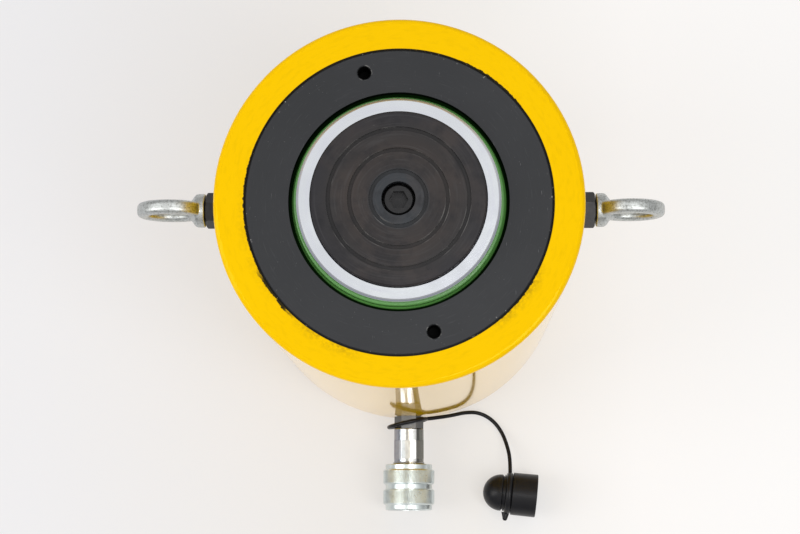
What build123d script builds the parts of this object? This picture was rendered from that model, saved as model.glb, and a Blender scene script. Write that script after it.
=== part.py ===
from build123d import *
from math import radians, tan
import os

# A single-acting, load-return hydraulic cylinder of about 150 tonnes.
# All lengths are in millimetres. The origin is the centre of the base on the cylinder's axis.
# +Z points up to the saddle, -Y to the coupler, and the lifting eyes lie along X.

# Clearances
slide_gap = 0.05  # radial, between a guide or a turning piece and what it runs on
seat_gap = 0.05  # radial, between two round pieces that are fixed to each other
rest_gap = 0.3  # axial, where the piston stops at either end of its travel
floor_gap = 0.2  # below the dust cap
hole_end_gap = 2.0  # between the end of a screw and the bottom of its hole
cut_margin = 1.0  # how far a cut starts outside what it cuts
split_reach = 10.0  # of the cut that splits a band or a washer, along its radius

# Barrel
barrel_diameter = 219.0
bore_diameter = 165.0
base_thickness = 50.0
barrel_top_round = 3.0
barrel_foot_chamfer = 2.0
stroke = 150.0

# Holes in the base, for bolting the cylinder down
base_hole_circle = 158.8
base_hole_diameter = 17.5
base_hole_depth = 28.0
base_hole_count = 4
base_hole_angle = 45.0

# Oil port and its drillings
port_height = 28.0
port_diameter = 17.2
port_depth = 16.0
drilling_diameter = 8.0

# Stop ring, screwed into the top of the barrel
stop_ring_shoulder = 8.5  # from the bore out to the ring's thread
stop_ring_height = 52.0
stop_ring_chamfer = 1.2
ring_side_gap = 0.6
spanner_share = 0.559  # of the ring's top face, from the wiper's seat out to the holes
spanner_hole_diameter = 7.5
spanner_hole_depth = 14.0
spanner_hole_chamfer = 0.8
spanner_sink_angle = 90.0
spanner_hole_count = 2
spanner_angle = 105.0

# Wiper seal in the mouth of the stop ring
wiper_width = 4.9  # from the plunger out to the wall of its seat
wiper_height = 9.0
wiper_lip_width = 1.8
wiper_lip_rise = 0.6  # above the stop ring
wiper_lip_round = 1.1
wiper_gap_depth = 5.5  # of the open groove outside the lip
wiper_edge_height = 2.0  # of the scraping edge
wiper_relief = 0.8

# Plunger and the pocket for its saddle
plunger_diameter = 120.0
plunger_proud = 7.5
plunger_chamfer = 1.5
pocket_depth = 20.0
pocket_wall = 8.5
pocket_chamfer = 0.6
spigot_shoulder = 15.0
spigot_height = 30.0

# Saddle
saddle_proud = 3.2
saddle_chamfer = 0.9
saddle_hub_width = 7.5  # from the counterbore to the inner groove's outer edge
saddle_rim_width = 9.1  # from the outer groove to the saddle's edge
saddle_groove_count = 3
saddle_groove_width = 2.4
saddle_groove_depth = 1.4
saddle_screw_sink = 4.5

# Socket cap screws, M12
screw_diameter = 12.0
screw_head_diameter = 18.0
screw_head_height = 12.0
screw_head_chamfer = 0.9
screw_end_chamfer = 1.2
screw_socket = 10.0
screw_socket_depth = 6.0
screw_head_gap = 1.0  # radial, between a head and its counterbore
screw_hole_gap = 0.5  # radial, between a shank and its clearance hole
screw_head_cover = 1.0  # between a piston screw's head and the piston's recess
screw_engagement = 22.0
washer_thickness = 2.5
washer_proud = 0.05  # beyond the screw's head, radial
washer_split = 1.2
washer_split_turn = 20.0

# Piston
piston_height = 77.4
piston_side_gap = 0.25
piston_foot_width = 18.5  # of the ring round the recess in its lower face
piston_recess_depth = 3.0
piston_chamfer = 2.0
piston_screw_inset = 12.0  # from the spigot's edge in to the screws
piston_screw_count = 6
o_ring_section = 3.4
o_ring_groove_width = 5.0

# Guide bands and the pressure seal
band_width = 12.0
band_thickness = 2.5
band_split = 2.0
piston_low_band = 8.0  # from the piston's lower face
piston_seal_gap = 8.0  # between the low band and the seal
piston_high_band = 9.4  # from the piston's upper face
seal_height = 14.6
seal_depth = 7.5
seal_notch_depth = 5.0
seal_notch_mouth = 3.2
seal_notch_root = 1.2
backup_height = 3.2
backup_side_gap = 0.15
ring_low_band = 6.0  # from the stop ring's lower face
ring_high_band = 24.0

# Lifting eyes and their locknuts
eye_drop = 36.0  # below the barrel's top face
eye_outer = 41.0
eye_inner = 25.0
eye_width = 8.6
eye_section_round = 1.9
eye_reach = 41.5  # from the collar's inner face to the tip
eye_collar_diameter = 20.4
eye_collar_height = 6.5
eye_collar_edge = 0.6
eye_collar_round = 3.4
eye_neck_diameter = 13.4
eye_neck_length = 1.5
eye_shank_diameter = 12.0
eye_shank_length = 22.0
eye_shank_chamfer = 1.2
eye_hole_end_gap = 1.0
nut_flats = 18.8
nut_height = 8.0
nut_turn = 12.0
nut_collar_gap = 0.7
nut_corner_height = 1.6
nut_corner_cut = 1.0
spot_face_diameter = 24.0
spot_face_depth = 0.7

# Coupler, measured out along -Y from the barrel
adapter_hex_flats = 18.0
adapter_hex_height = 8.8
adapter_bore = 8.0
adapter_stem_diameter = 16.0
adapter_stem_length = 9.0
adapter_thread_chamfer = 1.0
adapter_end_gap = 1.0
body_diameter = 21.2
body_to_sleeve = 25.5
body_chamfer = 0.6
body_hex_flats = 18.6
body_hex_offset = 8.4  # from the adapter
body_collar_width = 3.7  # of the round part between the hexagon and the sleeve
chamber_diameter = 12.0
nose_diameter = 19.0
nose_flange_diameter = 27.4
nose_flange_width = 4.0
nose_mouth_diameter = 8.4
nose_mouth_length = 1.0
nose_seat_length = 2.0
nose_sink = 12.8  # behind the sleeve's front face
nose_chamfer = 1.0
ball_diameter = 10.0
coupler_seal_section = 1.9
coupler_seal_room = 2.0
spring_wire = 1.1
spring_diameter = 10.4
spring_turns = 5.5
spring_end_gap = 0.1

# Coupler sleeve
sleeve_diameter = 36.2
sleeve_land_diameter = 33.4
sleeve_length = 32.8
sleeve_rear_land = 3.6
sleeve_knurl_lengths = [10.9, 11.4]
sleeve_groove_width = 3.2
sleeve_front_round = 1.0
sleeve_edge_chamfer = 0.5
knurl_chamfer = 0.9
sleeve_thread_diameter = 30.6
sleeve_thread_length = 11.0
sleeve_relief_diameter = 31.2
sleeve_lip_thickness = 4.2
sleeve_end_gap = 0.3
wire_ring_section = 1.3
wire_ring_arc = 330.0

# Rubber loops, strap and dust cap
strap_diameter = 2.8
coupler_loop_radius = 13.8  # to the middle of its section
coupler_loop_turn = 12.6
coupler_loop_offset = -0.9
coupler_loop_out = 4.7  # from the barrel to the loop's centre
coupler_loop_drop = 1.4  # of the loop's centre below the coupler's axis
cap_axis_turn = -5.6
cap_dome_radius = 13.1
cap_dome_round = 1.0
cap_dome_edge_radius = 1.3
cap_neck_diameter = 24.0
cap_rib_width = 0.9  # of the rib between the dome and the loop
cap_rib_proud = 1.0  # beyond the neck, radial
cap_waist_width = 0.9  # of the narrow part between the dome and the rib
cap_neck_width = 5.0
cap_skirt_gap = 0.1  # radial, between the skirt and the mouth of the sleeve
cap_skirt_length = 17.8
cap_flare = 0.2
cap_bore_diameter = 25.6
cap_bore_depth = 17.0
cap_edge_round = 0.6
cap_loop_width = 4.4
cap_loop_thickness = 3.2
cap_tip_x = 53.4
cap_tip_y = -162.4
cap_nub_root = 3.0  # half its width at the loop
cap_nub_offset = -0.9  # along the cap's axis, from the loop's middle
cap_nub_radius = 1.8
cap_nub_length = 4.4

strap_corner_share = 0.45  # of the shorter run beside a corner, taken up by its arc

# The strap's route, chosen along its centre line: out of the coupler's loop, down beside
# the barrel, along the floor and up to the cap's loop.
strap_route = [
    (13.4, -111.0, 26.4),
    (22.6, -109.7, 22.6),
    (31.4, -107.9, 15.2),
    (40.2, -105.4, 7.4),
    (50.4, -105.0, 2.2),
    (60.2, -110.0, 1.8),
    (67.2, -118.8, 3.0),
    (71.2, -129.4, 6.6),
    (73.2, -139.6, 11.8),
    (73.0, -149.4, 15.6),
]

# Levels that follow from the sizes above
bore_radius = bore_diameter / 2
plunger_radius = plunger_diameter / 2
piston_low = base_thickness + rest_gap
piston_high = piston_low + piston_height
piston_radius = bore_radius - piston_side_gap
stop_ring_low = piston_high + stroke + rest_gap
barrel_height = stop_ring_low + stop_ring_height
stop_ring_radius = bore_radius + stop_ring_shoulder
plunger_top = barrel_height + plunger_proud
eye_height = barrel_height - eye_drop
pocket_floor = plunger_top - pocket_depth
saddle_top = plunger_top + saddle_proud
saddle_height = saddle_top - pocket_floor
saddle_screw_seat = saddle_top - saddle_screw_sink - screw_head_height - washer_thickness
piston_screw_seat = piston_low + piston_recess_depth + screw_head_cover + screw_head_height
spigot_low = piston_high - spigot_height

# Radii and circles that follow from the bore, the plunger and the screws
screw_counterbore = screw_head_diameter + 2 * screw_head_gap
screw_hole = screw_diameter + 2 * screw_hole_gap
washer_diameter = screw_head_diameter + 2 * washer_proud
wiper_seat_radius = plunger_radius + wiper_width
ring_face_width = stop_ring_radius - wiper_seat_radius
spanner_circle = 2 * (wiper_seat_radius + spanner_share * ring_face_width)
saddle_radius = plunger_radius - pocket_wall
spigot_radius = plunger_radius - spigot_shoulder
piston_recess_radius = bore_radius - piston_foot_width
piston_screw_circle = 2 * (spigot_radius - piston_screw_inset)
inner_groove_radius = screw_counterbore / 2 + saddle_hub_width
outer_groove_radius = saddle_radius - saddle_rim_width
groove_step = (outer_groove_radius - inner_groove_radius) / (saddle_groove_count - 1)
riser_out = piston_recess_radius - drilling_diameter / 2

# Distances out from the barrel's axis, along the coupler's axis
barrel_radius = barrel_diameter / 2
body_start = barrel_radius + adapter_hex_height
sleeve_start = body_start + body_to_sleeve
sleeve_end = sleeve_start + sleeve_length
flange_start = sleeve_start + sleeve_lip_thickness + sleeve_end_gap
flange_end = flange_start + nose_flange_width
nose_end = sleeve_end - nose_sink
ball_offset = ((ball_diameter / 2) ** 2 - (nose_mouth_diameter / 2) ** 2) ** 0.5
ball_out = nose_end - nose_mouth_length - ball_offset - slide_gap
stem_end = body_start + adapter_stem_length
port_end = barrel_radius - port_depth + adapter_end_gap
drilling_reach = barrel_radius - riser_out + drilling_diameter / 2
chamber_start = stem_end + coupler_seal_room
wire_ring_out = sleeve_start - sleeve_end_gap - wire_ring_section / 2
spring_radius = (spring_diameter - spring_wire) / 2
spring_ball_reach = ((ball_diameter + spring_wire) / 2 + spring_end_gap) ** 2 - spring_radius**2
spring_start = stem_end + spring_wire / 2 + spring_end_gap
spring_end = ball_out - spring_ball_reach**0.5

coupler_axis = Axis((0, 0, port_height), (0, -1, 0))
coupler_profile = Plane(origin=(0, 0, port_height), x_dir=(0, -1, 0), z_dir=(-1, 0, 0))


def coupler_face(out):
    """The plane square to the coupler's axis, at a distance out from the barrel's axis."""
    return Plane(origin=(0, -out, port_height), x_dir=(1, 0, 0), z_dir=(0, -1, 0))


def facing_down(level):
    """The level plane at a height, with its outside below."""
    return Plane(origin=(0, 0, level), z_dir=(0, 0, -1))


def ring_section(inner, outer, low, high):
    """A rectangle in the current sketch, between two radii and two levels."""
    with Locations(((inner + outer) / 2, (low + high) / 2)):
        Rectangle(outer - inner, high - low)


def save(piece, name):
    """Label a finished piece and write it to its own file."""
    piece.part.label = name
    export_step(piece.part, f"parts/{name}.step")


os.makedirs("parts", exist_ok=True)


# Barrel, with a solid base
with BuildPart() as cylinder_body:
    with BuildSketch(Plane.XZ):
        with BuildLine():
            Polyline(
                (0, 0),
                (barrel_radius, 0),
                (barrel_radius, barrel_height),
                (stop_ring_radius, barrel_height),
                (stop_ring_radius, stop_ring_low),
                (bore_radius, stop_ring_low),
                (bore_radius, base_thickness),
                (0, base_thickness),
                close=True,
            )
        make_face()
    revolve(axis=Axis.Z)
    outer_rims = cylinder_body.edges().filter_by(GeomType.CIRCLE)
    top_rim = outer_rims.group_by(Axis.Z)[-1].sort_by(SortBy.RADIUS)[-1]
    foot_rim = outer_rims.group_by(Axis.Z)[0].sort_by(SortBy.RADIUS)[-1]
    fillet(top_rim, barrel_top_round)
    chamfer(foot_rim, barrel_foot_chamfer)
    # Tapped holes in the base
    with Locations(facing_down(0)):
        with PolarLocations(base_hole_circle / 2, base_hole_count, base_hole_angle):
            Hole(base_hole_diameter / 2, depth=base_hole_depth)
    # Port, radial drilling and the rising drilling under the piston
    with Locations(coupler_face(barrel_radius)):
        Hole(port_diameter / 2, depth=port_depth)
        Hole(drilling_diameter / 2, depth=drilling_reach)
    with Locations((0, -riser_out, base_thickness)):
        Hole(drilling_diameter / 2, depth=base_thickness - port_height)
    # Spot faces and tapped holes for the lifting eyes
    for side in (1, -1):
        with BuildSketch(
            Plane(
                origin=(side * (barrel_radius - spot_face_depth), 0, eye_height),
                x_dir=(0, 1, 0),
                z_dir=(side, 0, 0),
            )
        ):
            Circle(spot_face_diameter / 2)
        extrude(amount=2 * spot_face_depth, mode=Mode.SUBTRACT)
        with BuildSketch(
            Plane(
                origin=(side * (barrel_radius + cut_margin), 0, eye_height),
                x_dir=(0, 1, 0),
                z_dir=(-side, 0, 0),
            )
        ):
            Circle(eye_shank_diameter / 2 + seat_gap)
        eye_hole_depth = eye_shank_length - nut_height - nut_collar_gap + spot_face_depth
        extrude(amount=eye_hole_depth + eye_hole_end_gap + cut_margin, mode=Mode.SUBTRACT)
save(cylinder_body, "cylinder_body")


# Stop ring, bored for the plunger, with grooves for its guide bands and a seat for the wiper
ring_bore_radius = plunger_radius + ring_side_gap
ring_groove_radius = plunger_radius + slide_gap + band_thickness
ring_band_levels = [stop_ring_low + ring_low_band, stop_ring_low + ring_high_band]
wiper_low = barrel_height - wiper_height
with BuildPart() as stop_ring:
    with BuildSketch(Plane.XZ):
        ring_section(ring_bore_radius, stop_ring_radius - seat_gap, stop_ring_low, barrel_height)
    revolve(axis=Axis.Z)
    chamfer(
        stop_ring.edges().group_by(Axis.Z)[-1].sort_by(SortBy.RADIUS)[-1],
        stop_ring_chamfer,
    )
    with BuildSketch(Plane.XZ):
        ring_section(plunger_radius, wiper_seat_radius, wiper_low, barrel_height + cut_margin)
        for level in ring_band_levels:
            ring_section(plunger_radius, ring_groove_radius, level, level + band_width)
    revolve(axis=Axis.Z, mode=Mode.SUBTRACT)
    with Locations((0, 0, barrel_height)):
        with PolarLocations(spanner_circle / 2, spanner_hole_count, spanner_angle):
            CounterSinkHole(
                spanner_hole_diameter / 2,
                spanner_hole_diameter / 2 + spanner_hole_chamfer,
                depth=spanner_hole_depth,
                counter_sink_angle=spanner_sink_angle,
            )
save(stop_ring, "stop_ring")


# Guide bands of the stop ring, each split once
with BuildPart() as stop_ring_wear_bands:
    with BuildSketch(Plane.XZ):
        for level in ring_band_levels:
            ring_section(
                plunger_radius + slide_gap,
                ring_groove_radius - seat_gap,
                level + slide_gap,
                level + band_width - slide_gap,
            )
    revolve(axis=Axis.Z)
    with Locations((ring_groove_radius, 0, stop_ring_low)):
        Box(
            split_reach,
            band_split,
            stop_ring_height,
            align=(Align.CENTER, Align.CENTER, Align.MIN),
            mode=Mode.SUBTRACT,
        )
save(stop_ring_wear_bands, "stop_ring_wear_bands")


# Wiper seal: a lip that scrapes the plunger, with an open groove between it and its seat
wiper_outer = wiper_seat_radius - seat_gap
wiper_inner = plunger_radius + slide_gap
wiper_lip_outer = wiper_inner + wiper_lip_width
wiper_lip_top = barrel_height + wiper_lip_rise
with BuildPart() as wiper_seal:
    with BuildSketch(Plane.XZ) as wiper_profile:
        with BuildLine():
            Polyline(
                (wiper_inner + wiper_relief, wiper_low),
                (wiper_outer, wiper_low),
                (wiper_outer, barrel_height - wiper_gap_depth),
                (wiper_lip_outer, barrel_height - wiper_gap_depth),
                (wiper_lip_outer, wiper_lip_top),
                (wiper_inner, wiper_lip_top),
                (wiper_inner, wiper_lip_top - wiper_edge_height),
                (wiper_inner + wiper_relief, wiper_lip_top - 2 * wiper_edge_height),
                close=True,
            )
        make_face()
        lip_corners = wiper_profile.vertices().group_by(Axis.Y)[-1].sort_by(Axis.X)
        fillet(lip_corners[-1], wiper_lip_round)
    revolve(axis=Axis.Z)
save(wiper_seal, "wiper_seal")


# Plunger, with a pocket for the saddle on top and a spigot for the piston below
plunger_o_ring_level = spigot_low + spigot_height / 2
with BuildPart() as plunger:
    with BuildSketch(Plane.XZ):
        ring_section(0, plunger_radius, piston_high, plunger_top)
        ring_section(0, spigot_radius, spigot_low, piston_high)
    revolve(axis=Axis.Z)
    chamfer(
        plunger.edges().group_by(Axis.Z)[-1].sort_by(SortBy.RADIUS)[-1],
        plunger_chamfer,
    )
    with BuildSketch(Plane.XZ):
        ring_section(0, saddle_radius + seat_gap, pocket_floor, plunger_top)
        ring_section(
            spigot_radius - o_ring_section,
            spigot_radius,
            plunger_o_ring_level - o_ring_groove_width / 2,
            plunger_o_ring_level + o_ring_groove_width / 2,
        )
    revolve(axis=Axis.Z, mode=Mode.SUBTRACT)
    chamfer(
        plunger.edges().group_by(Axis.Z)[-1].sort_by(SortBy.RADIUS)[0],
        pocket_chamfer,
    )
    with Locations((0, 0, pocket_floor)):
        Hole(screw_diameter / 2 + seat_gap, depth=screw_engagement + hole_end_gap)
    with Locations(facing_down(spigot_low)):
        with PolarLocations(piston_screw_circle / 2, piston_screw_count):
            Hole(screw_diameter / 2 + seat_gap, depth=screw_engagement + hole_end_gap)
save(plunger, "plunger")


# Piston, with a relieved underside for the oil and grooves for its bands and seal
band_root = bore_radius - slide_gap - band_thickness
seal_root = bore_radius - slide_gap - seal_depth
piston_band_levels = [
    piston_low + piston_low_band,
    piston_high - piston_high_band - band_width,
]
seal_level = piston_band_levels[0] + band_width + piston_seal_gap
with BuildPart() as piston:
    with BuildSketch(Plane.XZ):
        ring_section(0, piston_radius, piston_low, piston_high)
    revolve(axis=Axis.Z)
    chamfer(piston.edges().filter_by(GeomType.CIRCLE), piston_chamfer)
    with BuildSketch(Plane.XZ):
        ring_section(0, spigot_radius + seat_gap, spigot_low, piston_high)
        ring_section(0, piston_recess_radius, piston_low, piston_low + piston_recess_depth)
        for level in piston_band_levels:
            ring_section(band_root, bore_radius, level, level + band_width)
        ring_section(seal_root, bore_radius, seal_level, seal_level + seal_height + backup_height)
    revolve(axis=Axis.Z, mode=Mode.SUBTRACT)
    with Locations(facing_down(piston_low + piston_recess_depth)):
        with PolarLocations(piston_screw_circle / 2, piston_screw_count):
            CounterBoreHole(
                screw_hole / 2,
                screw_counterbore / 2,
                piston_screw_seat - piston_low - piston_recess_depth,
                depth=piston_height,
            )
save(piston, "piston")


# Guide bands of the piston, each split once
with BuildPart() as piston_wear_bands:
    with BuildSketch(Plane.XZ):
        for level in piston_band_levels:
            ring_section(
                band_root + seat_gap,
                bore_radius - slide_gap,
                level + slide_gap,
                level + band_width - slide_gap,
            )
    revolve(axis=Axis.Z)
    with Locations((band_root, 0, piston_low)):
        Box(
            split_reach,
            band_split,
            piston_height,
            align=(Align.CENTER, Align.CENTER, Align.MIN),
            mode=Mode.SUBTRACT,
        )
save(piston_wear_bands, "piston_wear_bands")


# Pressure seal of the piston: a U ring with its lips down, towards the oil
seal_middle = (seal_root + bore_radius - slide_gap) / 2
with BuildPart() as piston_seal:
    with BuildSketch(Plane.XZ):
        ring_section(
            seal_root + seat_gap, bore_radius - slide_gap, seal_level, seal_level + seal_height
        )
        with BuildLine():
            Polyline(
                (seal_middle - seal_notch_mouth / 2, seal_level),
                (seal_middle + seal_notch_mouth / 2, seal_level),
                (seal_middle + seal_notch_root / 2, seal_level + seal_notch_depth),
                (seal_middle - seal_notch_root / 2, seal_level + seal_notch_depth),
                close=True,
            )
        make_face(mode=Mode.SUBTRACT)
    revolve(axis=Axis.Z)
save(piston_seal, "piston_seal")


# Hard ring that keeps the seal out of the gap above it
with BuildPart() as piston_backup_ring:
    with BuildSketch(Plane.XZ):
        ring_section(
            seal_root + seat_gap,
            bore_radius - backup_side_gap,
            seal_level + seal_height,
            seal_level + seal_height + backup_height,
        )
    revolve(axis=Axis.Z)
save(piston_backup_ring, "piston_backup_ring")


# Static seal between the plunger's spigot and the piston
with BuildPart() as piston_o_ring:
    with BuildSketch(Plane.XZ):
        with Locations((spigot_radius - o_ring_section / 2, plunger_o_ring_level)):
            Circle(o_ring_section / 2 - seat_gap)
    revolve(axis=Axis.Z)
save(piston_o_ring, "piston_o_ring")


def cap_screw(shank_length):
    """A socket cap screw, head up, with the underside of its head at the origin."""
    with BuildPart() as screw:
        with BuildSketch(Plane.XZ):
            ring_section(0, screw_diameter / 2, -shank_length, 0)
            ring_section(0, screw_head_diameter / 2, 0, screw_head_height)
        revolve(axis=Axis.Z)
        chamfer(screw.edges().group_by(Axis.Z)[-1], screw_head_chamfer)
        chamfer(screw.edges().group_by(Axis.Z)[0], screw_end_chamfer)
        with BuildSketch(Plane.XY.offset(screw_head_height)):
            RegularPolygon(screw_socket / 2, 6, major_radius=False)
        extrude(amount=-screw_socket_depth, mode=Mode.SUBTRACT)
    return screw.part


# Screws that hold the piston on the plunger, heads down
piston_screw = cap_screw(spigot_low - piston_screw_seat + screw_engagement)
with BuildPart() as piston_screws:
    with Locations(facing_down(piston_screw_seat)):
        with PolarLocations(piston_screw_circle / 2, piston_screw_count):
            add(piston_screw)
save(piston_screws, "piston_screws")


# Saddle: a grooved load plate with a counterbored middle
with BuildPart() as saddle:
    with BuildSketch(Plane.XZ):
        ring_section(0, saddle_radius, pocket_floor, saddle_top)
    revolve(axis=Axis.Z)
    chamfer(saddle.edges().filter_by(GeomType.CIRCLE), saddle_chamfer)
    with BuildSketch(Plane.XZ):
        for index in range(saddle_groove_count):
            groove_radius = inner_groove_radius + index * groove_step
            ring_section(
                groove_radius - saddle_groove_width,
                groove_radius,
                saddle_top - saddle_groove_depth,
                saddle_top,
            )
    revolve(axis=Axis.Z, mode=Mode.SUBTRACT)
    with Locations((0, 0, saddle_top)):
        CounterBoreHole(
            screw_hole / 2,
            screw_counterbore / 2,
            saddle_top - saddle_screw_seat,
            depth=saddle_height,
        )
save(saddle, "saddle")


# Screw of the saddle
head_level = saddle_screw_seat + washer_thickness
centre_screw = cap_screw(head_level - pocket_floor + screw_engagement)
with BuildPart() as saddle_screw:
    with Locations((0, 0, head_level)):
        add(centre_screw)
save(saddle_screw, "saddle_screw")


# Spring washer under the saddle's screw
with BuildPart() as saddle_washer:
    with BuildSketch(Plane.XZ):
        ring_section(
            screw_diameter / 2 + seat_gap,
            washer_diameter / 2,
            saddle_screw_seat,
            saddle_screw_seat + washer_thickness,
        )
    revolve(axis=Axis.Z)
    with Locations((washer_diameter / 2, 0, saddle_screw_seat)):
        Box(
            washer_diameter / 2,
            washer_split,
            split_reach,
            rotation=(washer_split_turn, 0, 0),
            mode=Mode.SUBTRACT,
        )
save(saddle_washer, "saddle_washer")


# Lifting eyes and locknuts, one of each on either side
nut_face = barrel_radius - spot_face_depth
collar_face = nut_face + nut_height + nut_collar_gap
eye_centre = collar_face + eye_reach - eye_outer / 2
eye_section = (eye_outer - eye_inner) / 2
collar_top = collar_face + eye_collar_height
shank_end = collar_face - eye_shank_length
for side, side_name in ((1, "right"), (-1, "left")):
    eye_axis = Axis((0, 0, eye_height), (side, 0, 0))
    eye_profile = Plane(origin=(0, 0, eye_height), x_dir=(side, 0, 0), z_dir=(0, -side, 0))
    with BuildPart() as eyebolt:
        # Collar, neck and shank, turned about the bolt's own axis
        with BuildSketch(eye_profile) as eye_turning:
            with BuildLine():
                Polyline(
                    (shank_end, 0),
                    (shank_end, eye_shank_diameter / 2 - eye_shank_chamfer),
                    (shank_end + eye_shank_chamfer, eye_shank_diameter / 2),
                    (collar_face, eye_shank_diameter / 2),
                    (collar_face, eye_collar_diameter / 2),
                    (collar_top, eye_collar_diameter / 2),
                    (collar_top, eye_neck_diameter / 2),
                    (collar_top + eye_neck_length, eye_neck_diameter / 2),
                    (collar_top + eye_neck_length, 0),
                    close=True,
                )
            make_face()
            collar_corners = eye_turning.vertices().group_by(Axis.Y)[-1].sort_by(Axis.X)
            fillet(collar_corners[0], eye_collar_edge)
            fillet(collar_corners[-1], eye_collar_round)
        revolve(axis=eye_axis)
        # The forged ring, which stands in the plane of the cylinder's axis
        with BuildSketch(Plane(origin=(side * eye_centre, 0, eye_height))):
            with Locations(((eye_inner + eye_section) / 2, 0)):
                RectangleRounded(eye_section, eye_width, eye_section_round)
        revolve(axis=Axis((side * eye_centre, 0, eye_height), (0, 1, 0)))
    save(eyebolt, f"eyebolt_{side_name}")

    with BuildPart() as locknut:
        with BuildSketch(
            Plane(origin=(side * nut_face, 0, eye_height), x_dir=(0, 1, 0), z_dir=(side, 0, 0))
        ):
            RegularPolygon(nut_flats / 2, 6, major_radius=False, rotation=side * nut_turn)
            Circle(eye_shank_diameter / 2 + seat_gap, mode=Mode.SUBTRACT)
        extrude(amount=nut_height)
        # Corners turned down on the outer face
        corner_radius = nut_flats / 3**0.5
        with BuildSketch(eye_profile, mode=Mode.PRIVATE) as nut_turning:
            with BuildLine():
                Polyline(
                    (nut_face, 0),
                    (nut_face, corner_radius + nut_corner_cut),
                    (nut_face + nut_height - nut_corner_height, corner_radius + nut_corner_cut),
                    (nut_face + nut_height, corner_radius - nut_corner_cut),
                    (nut_face + nut_height, 0),
                    close=True,
                )
            make_face()
        revolve(nut_turning.sketch, axis=eye_axis, mode=Mode.INTERSECT)
    save(locknut, f"locknut_{side_name}")


# Coupler adapter: threaded into the port, with a hexagon and a stem for the body
with BuildPart() as coupler_adapter:
    with BuildSketch(coupler_profile):
        with BuildLine():
            Polyline(
                (port_end, 0),
                (port_end, port_diameter / 2 - adapter_thread_chamfer),
                (port_end + adapter_thread_chamfer, port_diameter / 2 - seat_gap),
                (barrel_radius + seat_gap, port_diameter / 2 - seat_gap),
                (barrel_radius + seat_gap, adapter_stem_diameter / 2),
                (stem_end, adapter_stem_diameter / 2),
                (stem_end, 0),
                close=True,
            )
        make_face()
    revolve(axis=coupler_axis)
    with BuildSketch(coupler_face(barrel_radius + seat_gap)):
        RegularPolygon(adapter_hex_flats / 2, 6, major_radius=False)
    extrude(amount=adapter_hex_height - seat_gap)
    with Locations(coupler_face(stem_end)):
        Hole(adapter_bore / 2)
save(coupler_adapter, "coupler_adapter")


# Coupler body: a round body with a hexagon, the flange that carries the sleeve, and the nose
body_hex_start = body_start + body_hex_offset
body_hex_end = sleeve_start - body_collar_width
with BuildPart() as coupler_body:
    with BuildSketch(coupler_profile):
        with BuildLine():
            Polyline(
                (body_start, adapter_stem_diameter / 2 + seat_gap),
                (body_start, body_diameter / 2 - body_chamfer),
                (body_start + body_chamfer, body_diameter / 2),
                (flange_start, body_diameter / 2),
                (flange_start, nose_flange_diameter / 2),
                (flange_end, nose_flange_diameter / 2),
                (flange_end, nose_diameter / 2),
                (nose_end - nose_chamfer, nose_diameter / 2),
                (nose_end, nose_diameter / 2 - nose_chamfer),
                (nose_end, nose_mouth_diameter / 2),
                (nose_end - nose_mouth_length, nose_mouth_diameter / 2),
                (nose_end - nose_mouth_length - nose_seat_length, chamber_diameter / 2),
                (chamber_start, chamber_diameter / 2),
                (chamber_start, adapter_stem_diameter / 2 + seat_gap),
                close=True,
            )
        make_face()
        # Groove of the wire ring, just behind the sleeve
        with Locations((wire_ring_out, body_diameter / 2)):
            Circle(wire_ring_section / 2 + seat_gap, mode=Mode.SUBTRACT)
    revolve(axis=coupler_axis)
    # Hexagon for a spanner, milled into the round body
    with BuildSketch(coupler_face(body_hex_start)):
        Circle(body_diameter / 2 + cut_margin)
        RegularPolygon(body_hex_flats / 2, 6, major_radius=False, mode=Mode.SUBTRACT)
    extrude(amount=body_hex_end - body_hex_start, mode=Mode.SUBTRACT)
save(coupler_body, "coupler_body")


# O-ring between the end of the adapter's stem and the body
with BuildPart() as coupler_seal:
    with BuildSketch(coupler_profile):
        with Locations(
            (
                stem_end + coupler_seal_room / 2,
                adapter_stem_diameter / 2 + seat_gap - coupler_seal_section / 2,
            )
        ):
            Circle(coupler_seal_section / 2)
    revolve(axis=coupler_axis)
save(coupler_seal, "coupler_seal")


# Check ball in the nose, and the spring that closes it
with BuildPart() as coupler_ball:
    with Locations((0, -ball_out, port_height)):
        Sphere(ball_diameter / 2)
save(coupler_ball, "coupler_ball")

with BuildPart() as coupler_spring:
    with BuildLine() as spring_path:
        Helix(
            pitch=(spring_end - spring_start) / spring_turns,
            height=spring_end - spring_start,
            radius=spring_radius,
            center=(0, -spring_start, port_height),
            direction=(0, -1, 0),
        )
    with BuildSketch(Plane(origin=spring_path.line @ 0, z_dir=spring_path.line % 0)):
        Circle(spring_wire / 2)
    sweep(is_frenet=True)
save(coupler_spring, "coupler_spring")


# Wire ring that keeps the sleeve on its body
with BuildPart() as coupler_retaining_ring:
    with BuildSketch(coupler_profile):
        with Locations((wire_ring_out, body_diameter / 2)):
            Circle(wire_ring_section / 2)
    revolve(axis=coupler_axis, revolution_arc=wire_ring_arc)
save(coupler_retaining_ring, "coupler_retaining_ring")


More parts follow.
